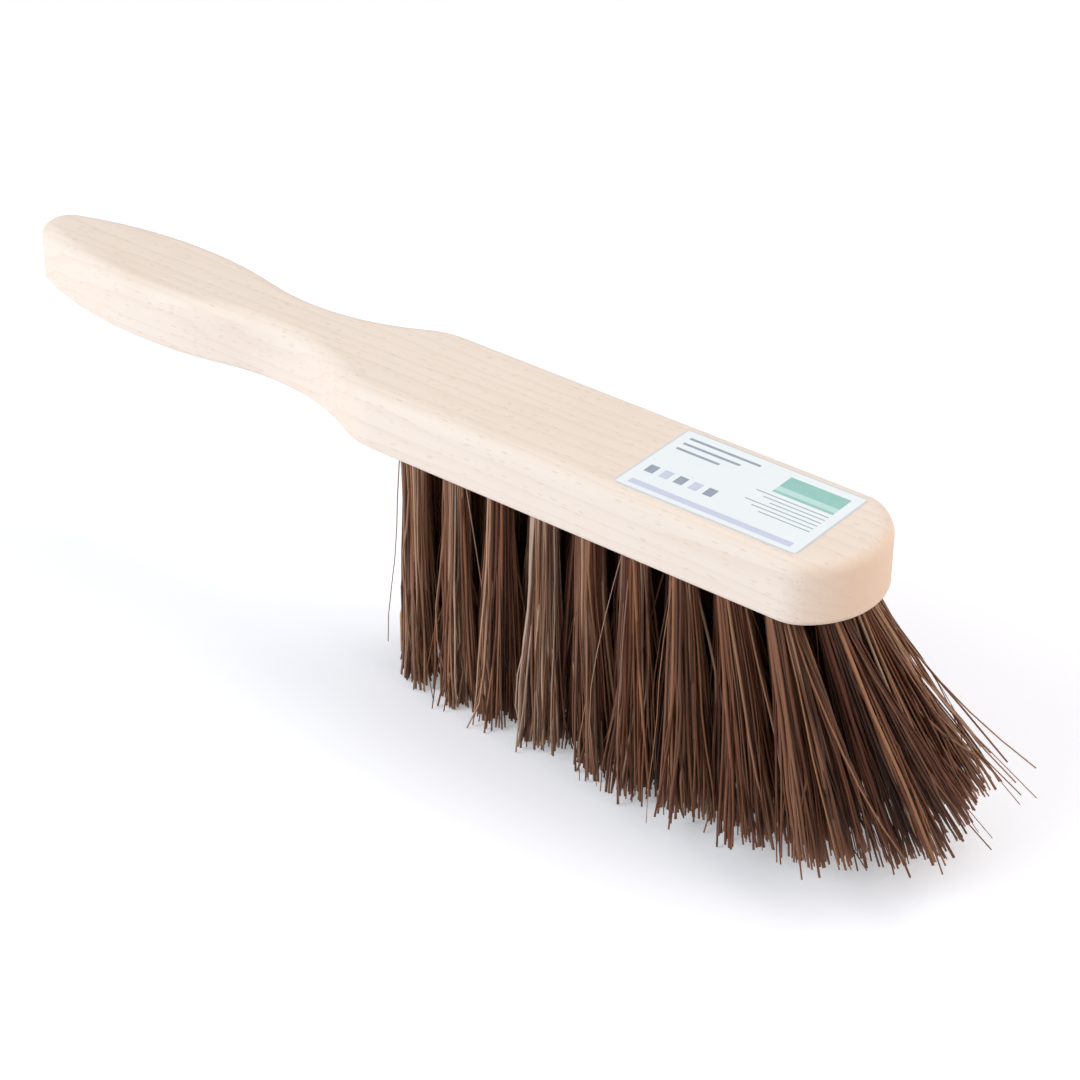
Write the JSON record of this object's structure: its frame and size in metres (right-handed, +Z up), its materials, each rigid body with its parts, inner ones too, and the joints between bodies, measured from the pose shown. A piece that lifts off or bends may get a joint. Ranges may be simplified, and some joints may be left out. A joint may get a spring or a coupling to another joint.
{
  "type": "hand broom",
  "caption": "One-handed sweeping brush: a flat wooden stock with a waisted handle, staggered rows of coarse brown fibre tufts that fan out at the toe, and a paper label.",
  "frame": {"origin": "on the surface that the trimmed bristle tips stand on, below the middle of the whole broom", "axes": "+X along the stock from the handle to the toe, +Y to the left of it, +Z up from the tips to the back"},
  "size_m": [0.3218, 0.0648, 0.0906],
  "materials": {
    "stock_wood": "sanded, unvarnished pale wood",
    "anchor_wire": "bright flat wire",
    "label_paper": "coated white paper with a plain printed pattern",
    "tuft_fibre": "coarse dark brown plant fibre"
  },
  "bodies": {
    "root": {"stock": "stock_wood", "anchors": "anchor_wire", "label": "label_paper", "tuft_left_outer_1": "tuft_fibre", "tuft_left_outer_2": "tuft_fibre", "tuft_left_outer_3": "tuft_fibre", "tuft_left_outer_4": "tuft_fibre", "tuft_left_outer_5": "tuft_fibre", "tuft_left_outer_6": "tuft_fibre", "tuft_left_outer_7": "tuft_fibre", "tuft_left_outer_8": "tuft_fibre", "tuft_left_outer_9": "tuft_fibre", "tuft_left_inner_1": "tuft_fibre", "tuft_left_inner_2": "tuft_fibre", "tuft_left_inner_3": "tuft_fibre", "tuft_left_inner_4": "tuft_fibre", "tuft_left_inner_5": "tuft_fibre", "tuft_left_inner_6": "tuft_fibre", "tuft_left_inner_7": "tuft_fibre", "tuft_left_inner_8": "tuft_fibre", "tuft_left_inner_9": "tuft_fibre", "tuft_left_inner_10": "tuft_fibre", "tuft_right_inner_1": "tuft_fibre", "tuft_right_inner_2": "tuft_fibre", "tuft_right_inner_3": "tuft_fibre", "tuft_right_inner_4": "tuft_fibre", "tuft_right_inner_5": "tuft_fibre", "tuft_right_inner_6": "tuft_fibre", "tuft_right_inner_7": "tuft_fibre", "tuft_right_inner_8": "tuft_fibre", "tuft_right_inner_9": "tuft_fibre", "tuft_right_inner_10": "tuft_fibre", "tuft_right_outer_1": "tuft_fibre", "tuft_right_outer_2": "tuft_fibre", "tuft_right_outer_3": "tuft_fibre", "tuft_right_outer_4": "tuft_fibre", "tuft_right_outer_5": "tuft_fibre", "tuft_right_outer_6": "tuft_fibre", "tuft_right_outer_7": "tuft_fibre", "tuft_right_outer_8": "tuft_fibre", "tuft_right_outer_9": "tuft_fibre"}
  },
  "joints": []
}
